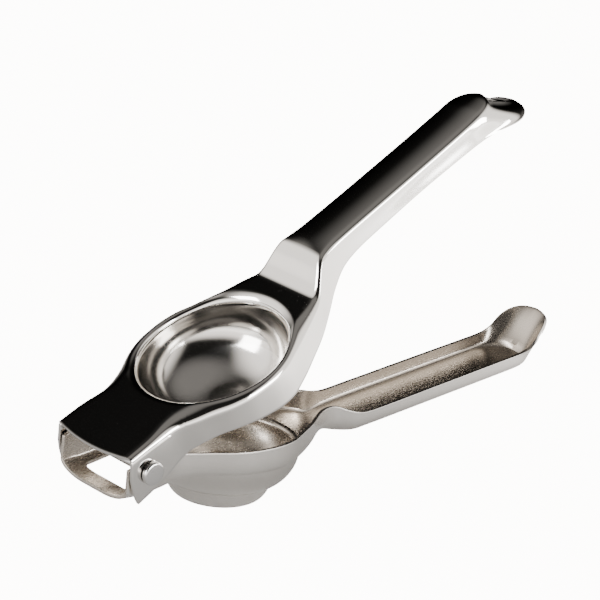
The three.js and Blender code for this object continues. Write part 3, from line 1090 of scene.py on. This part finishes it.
@dataclass
class HingePin:
    """The riveted pin through both arms, in millimetres."""

    # Rows round the edge of a head, and the angle in degrees from which an edge is shaded sharp.
    ROUND_ROWS = 9
    SHARP_FROM = 40

    radius: float = 1.8
    head_radius: float = 4.3
    head_height: float = 2.1
    head_round: float = 0.8
    gap: float = 0.3
    shoulder: float = 0.3
    fillet: float = 0.2
    chamfer: float = 0.25
    swell: tuple[float, float] = (0.02, 0.03)
    segments: int = 72

    def build(self) -> bpy.types.Object:
        """Makes the pin by turning half its outline about the hinge axis.

        Returns:
            The finished pin.
        """
        under = EAR_HALF_WIDTH + self.gap
        top = under + self.head_height
        half = [(self.radius, 0.0), (self.radius, under - self.shoulder),
                (self.radius + self.fillet, under), (self.head_radius - self.chamfer, under),
                (self.head_radius, under + self.chamfer)]
        for turn in np.linspace(0, math.pi / 2, self.ROUND_ROWS):
            half.append((self.head_radius - self.head_round * (1 - math.cos(turn)),
                         top - self.head_round * (1 - math.sin(turn))))
        low, high = self.swell
        half += [(self.radius, top + low), (self.radius / 2, top + high), (0.0, top + high)]
        outline = [(radius, -y) for radius, y in half[:0:-1]] + half
        turn = np.linspace(0, 2 * np.pi, self.segments, endpoint=False)
        radius, y = np.array(outline).T
        grid = np.stack([radius[:, None] * np.cos(turn), np.repeat(y[:, None], self.segments, 1),
                         radius[:, None] * np.sin(turn)], axis=-1)
        sheet = SheetMesh()
        sheet.patch(grid, closed=True)
        pin = sheet.object("riveted_pin", Side.UP, strainer_place)
        work = bmesh.new()
        work.from_mesh(pin.data)
        bmesh.ops.recalc_face_normals(work, faces=work.faces)
        work.to_mesh(pin.data)
        work.free()
        pin.data.materials.append(PIN_STEEL.material())
        pin.data.polygons.foreach_set("use_smooth", [True] * len(pin.data.polygons))
        pin.data.set_sharp_from_angle(angle=math.radians(self.SHARP_FROM))
        return pin


class Curve(Enum):
    """How a brightness changes from one value to another."""

    SMOOTH = "SMOOTHSTEP"
    STRAIGHT = "LINEAR"


@dataclass(frozen=True)
class Fade:
    """A change from one brightness to another over a span of some value."""

    span: tuple[float, float]
    light: tuple[float, float]
    curve: Curve = Curve.SMOOTH

    def socket(self, tree: bpy.types.NodeTree, value: bpy.types.NodeSocket) -> bpy.types.NodeSocket:
        """Adds the fade to a shader.

        Args:
            tree: the shader's tree.
            value: what the brightness follows.

        Returns:
            The brightness.
        """
        fade = tree.nodes.new("ShaderNodeMapRange")
        fade.interpolation_type = self.curve.value
        for name, number in zip(("From Min", "From Max", "To Min", "To Max"), (*self.span, *self.light)):
            fade.inputs[name].default_value = number
        tree.links.new(value, fade.inputs["Value"])
        return fade.outputs["Result"]


def joined(tree: bpy.types.NodeTree, how: str, one: bpy.types.NodeSocket,
           other: bpy.types.NodeSocket) -> bpy.types.NodeSocket:
    """Puts two brightnesses together.

    Args:
        tree: the shader's tree.
        how: the name of the operation.
        one: the first brightness.
        other: the second brightness.

    Returns:
        The result.
    """
    node = tree.nodes.new("ShaderNodeMath")
    node.operation = how
    tree.links.new(one, node.inputs[0])
    tree.links.new(other, node.inputs[1])
    return node.outputs[0]


def along(tree: bpy.types.NodeTree, vector: bpy.types.NodeSocket,
          direction: tuple[float, float, float] | Vector) -> bpy.types.NodeSocket:
    """Measures how far a vector goes in a direction.

    Args:
        tree: the shader's tree.
        vector: the vector.
        direction: the direction.

    Returns:
        The distance.
    """
    node = tree.nodes.new("ShaderNodeVectorMath")
    node.operation = "DOT_PRODUCT"
    node.inputs[1].default_value = direction
    tree.links.new(vector, node.inputs[0])
    return node.outputs["Value"]


@dataclass
class Studio:
    """The pale floor, the lights, the sky that the steel reflects, and the camera.

    The camera's place is in millimetres, its angles are in degrees and its aim is a share of its
    distance. A backdrop brightness is what the camera sees; the steel mirrors the glow and the sky.
    """

    position: tuple[float, float, float] = (-698.5, -737.8, 440.0)
    azimuth: float = -44.63
    elevation: float = 21.97
    roll: float = 6.04
    lens: float = 181.5
    sensor: float = 36
    aim: tuple[float, float] = (0.0059, 0.03996)
    clip: tuple[float, float] = (0.05, 50)
    backdrop: float = 13
    floor_size: float = 8
    floor_drop: float = 0.0003
    floor_grey: float = 0.3
    floor_roughness: float = 0.9
    floor_tint: tuple[float, float, float] = (1, 0.965, 0.92)
    # The floor's glow as the steel sees it: low near the object, a painted shadow under it.
    floor_glow: Fade = Fade((0.03, 0.50), (0.14, 2.7))
    # The glow fades towards +Y: painted shade on the floor's far side.
    floor_dim: Fade = Fade((0.12, 0.45), (1.0, 0.06), Curve.STRAIGHT)
    sky_strength: float = 2.4
    sky_tint: tuple[float, float, float] = (1.0, 0.955, 0.905)
    bright_sides: tuple[float, float, float] = (0.71, -0.70, 0.0)
    dark_side: tuple[float, float, float] = (0.6, 0.8, 0.0)
    sides: Fade = Fade((0.50, 0.86), (0.006, 0.78))
    horizon: Fade = Fade((0.06, 0.36), (0.95, 0.0))
    darkening: Fade = Fade((0.35, 0.80), (1.0, 0.08))
    overhead: Fade = Fade((0.72, 0.98), (0.0, 0.09))
    light_target: tuple[float, float, float] = (0.05, 0, 0.03)

    def camera(self) -> None:
        """Places the camera, a little rolled, at its own distance."""
        az, el, roll = (math.radians(v) for v in (self.azimuth, self.elevation, self.roll))
        back = Vector((math.sin(az) * math.cos(el), -math.cos(az) * math.cos(el), math.sin(el)))
        level = Vector((math.cos(az), math.sin(az), 0))
        right = math.cos(roll) * level + math.sin(roll) * back.cross(level)
        back = (back - self.aim[0] * right - self.aim[1] * back.cross(right)).normalized()
        right = (right - right.dot(back) * back).normalized()
        data = bpy.data.cameras.new("camera")
        data.lens = self.lens
        data.sensor_width = self.sensor
        data.clip_start, data.clip_end = self.clip
        made = bpy.data.objects.new("camera", data)
        turn = Matrix((right, back.cross(right), back)).transposed().to_4x4()
        made.matrix_world = Matrix.Translation(Vector(self.position) * MM) @ turn
        bpy.context.scene.collection.objects.link(made)
        bpy.context.scene.camera = made

    def floor(self) -> None:
        """Lays a wide pale floor just under the strainer bowl: evenly white to the camera, while to the
        steel it glows as a light, with painted shade near the object and on its far side.
        """
        bpy.ops.mesh.primitive_plane_add(size=self.floor_size, location=(0, 0, -self.floor_drop))
        plane = bpy.context.object
        plane.name = "floor"
        paint = bpy.data.materials.new("floor_white")
        paint.use_nodes = True
        tree = paint.node_tree
        nodes, links = tree.nodes, tree.links
        shader = nodes["Principled BSDF"]
        shader.inputs["Base Color"].default_value = (*[self.floor_grey] * 3, 1)
        shader.inputs["Roughness"].default_value = self.floor_roughness
        shader.inputs["Emission Color"].default_value = (*self.floor_tint, 1)
        place = nodes.new("ShaderNodeTexCoord")
        far = nodes.new("ShaderNodeVectorMath")
        far.operation = "LENGTH"
        links.new(place.outputs["Object"], far.inputs[0])
        split = nodes.new("ShaderNodeSeparateXYZ")
        links.new(place.outputs["Object"], split.inputs[0])
        # Painted shadow near the object and painted shade on the far side, multiplied into the glow that
        # the steel mirrors.
        glow = self.floor_glow.socket(tree, far.outputs["Value"])
        dim = self.floor_dim.socket(tree, split.outputs["Y"])
        path = nodes.new("ShaderNodeLightPath")
        pick = nodes.new("ShaderNodeMix")
        links.new(path.outputs["Is Camera Ray"], pick.inputs["Factor"])
        links.new(joined(tree, "MULTIPLY", glow, dim), pick.inputs["A"])
        pick.inputs["B"].default_value = self.backdrop
        links.new(pick.outputs["Result"], shader.inputs["Emission Strength"])
        plane.data.materials.append(paint)

    def light(self, name: str, place: tuple[float, float, float], size: tuple[float, float],
              power: float) -> None:
        """Hangs one rectangular soft light that looks at the middle of the object.

        Args:
            name: the light's name.
            place: where it hangs, in metres.
            size: its width and height, in metres.
            power: its power, in watts.
        """
        data = bpy.data.lights.new(name, "AREA")
        data.shape = "RECTANGLE"
        data.size, data.size_y = size
        data.energy = power
        made = bpy.data.objects.new(name, data)
        at = Vector(place)
        turn = (at - Vector(self.light_target)).to_track_quat("Z", "Y").to_matrix().to_4x4()
        made.matrix_world = Matrix.Translation(at) @ turn
        bpy.context.scene.collection.objects.link(made)

    def sky(self) -> None:
        """Makes the surroundings: pale, with one dark side that the upper faces mirror."""
        world = bpy.data.worlds.new("studio")
        bpy.context.scene.world = world
        world.use_nodes = True
        tree = world.node_tree
        nodes, links = tree.nodes, tree.links
        nodes.clear()
        out = nodes.new("ShaderNodeOutputWorld")
        way = nodes.new("ShaderNodeTexCoord").outputs["Generated"]
        split = nodes.new("ShaderNodeSeparateXYZ")
        links.new(way, split.inputs[0])
        height = split.outputs["Z"]
        across = nodes.new("ShaderNodeMath")
        across.operation = "ABSOLUTE"
        links.new(along(tree, way, Vector(self.bright_sides).normalized()), across.inputs[0])
        walls = self.sides.socket(tree, across.outputs[0])
        horizon = self.horizon.socket(tree, height)
        darkening = self.darkening.socket(tree, along(tree, way, self.dark_side))
        overhead = self.overhead.socket(tree, height)
        around = joined(tree, "MULTIPLY", joined(tree, "MAXIMUM", walls, horizon), darkening)
        light = joined(tree, "ADD", around, overhead)
        tint = nodes.new("ShaderNodeVectorMath")
        tint.operation = "SCALE"
        tint.inputs[0].default_value = self.sky_tint
        links.new(light, tint.inputs["Scale"])
        seen = nodes.new("ShaderNodeBackground")
        seen.inputs["Color"].default_value = (1, 1, 1, 1)
        seen.inputs["Strength"].default_value = self.backdrop
        hidden = nodes.new("ShaderNodeBackground")
        hidden.inputs["Strength"].default_value = self.sky_strength
        links.new(tint.outputs[0], hidden.inputs["Color"])
        path = nodes.new("ShaderNodeLightPath")
        mix = nodes.new("ShaderNodeMixShader")
        links.new(path.outputs["Is Camera Ray"], mix.inputs["Fac"])
        links.new(hidden.outputs[0], mix.inputs[1])
        links.new(seen.outputs[0], mix.inputs[2])
        links.new(mix.outputs[0], out.inputs["Surface"])

    def build(self) -> None:
        """Sets up the whole studio."""
        self.camera()
        self.floor()
        self.sky()
        self.light("near_softbox", place=(0.6, -1.6, 0.35), size=(1.4, 0.5), power=38)
        self.light("left_softbox", place=(-1.7, 0.5, 0.5), size=(0.9, 0.8), power=30)


def dress(piece: bpy.types.Object, body: str, node: str) -> None:
    """Lets a finished piece stand for its node and ride on its body.

    Args:
        piece: the finished piece.
        body: the body it moves with.
        node: the node it stands for.
    """
    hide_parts(node)
    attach(piece, body)
    LOG.info("%s: %d faces on %s", piece.name, len(piece.data.polygons), body)


def main() -> None:
    """Builds the juicer over its frame."""
    logging.basicConfig(level=logging.INFO, format="%(message)s")
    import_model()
    Studio().build()
    dress(PressArm().build(), "press_body", "press_arm")
    dress(StrainerArm().build(), "strainer_body", "strainer_arm")
    dress(HingePin().build(), "strainer_body", "hinge_pin")


if __name__ == "__main__":
    main()
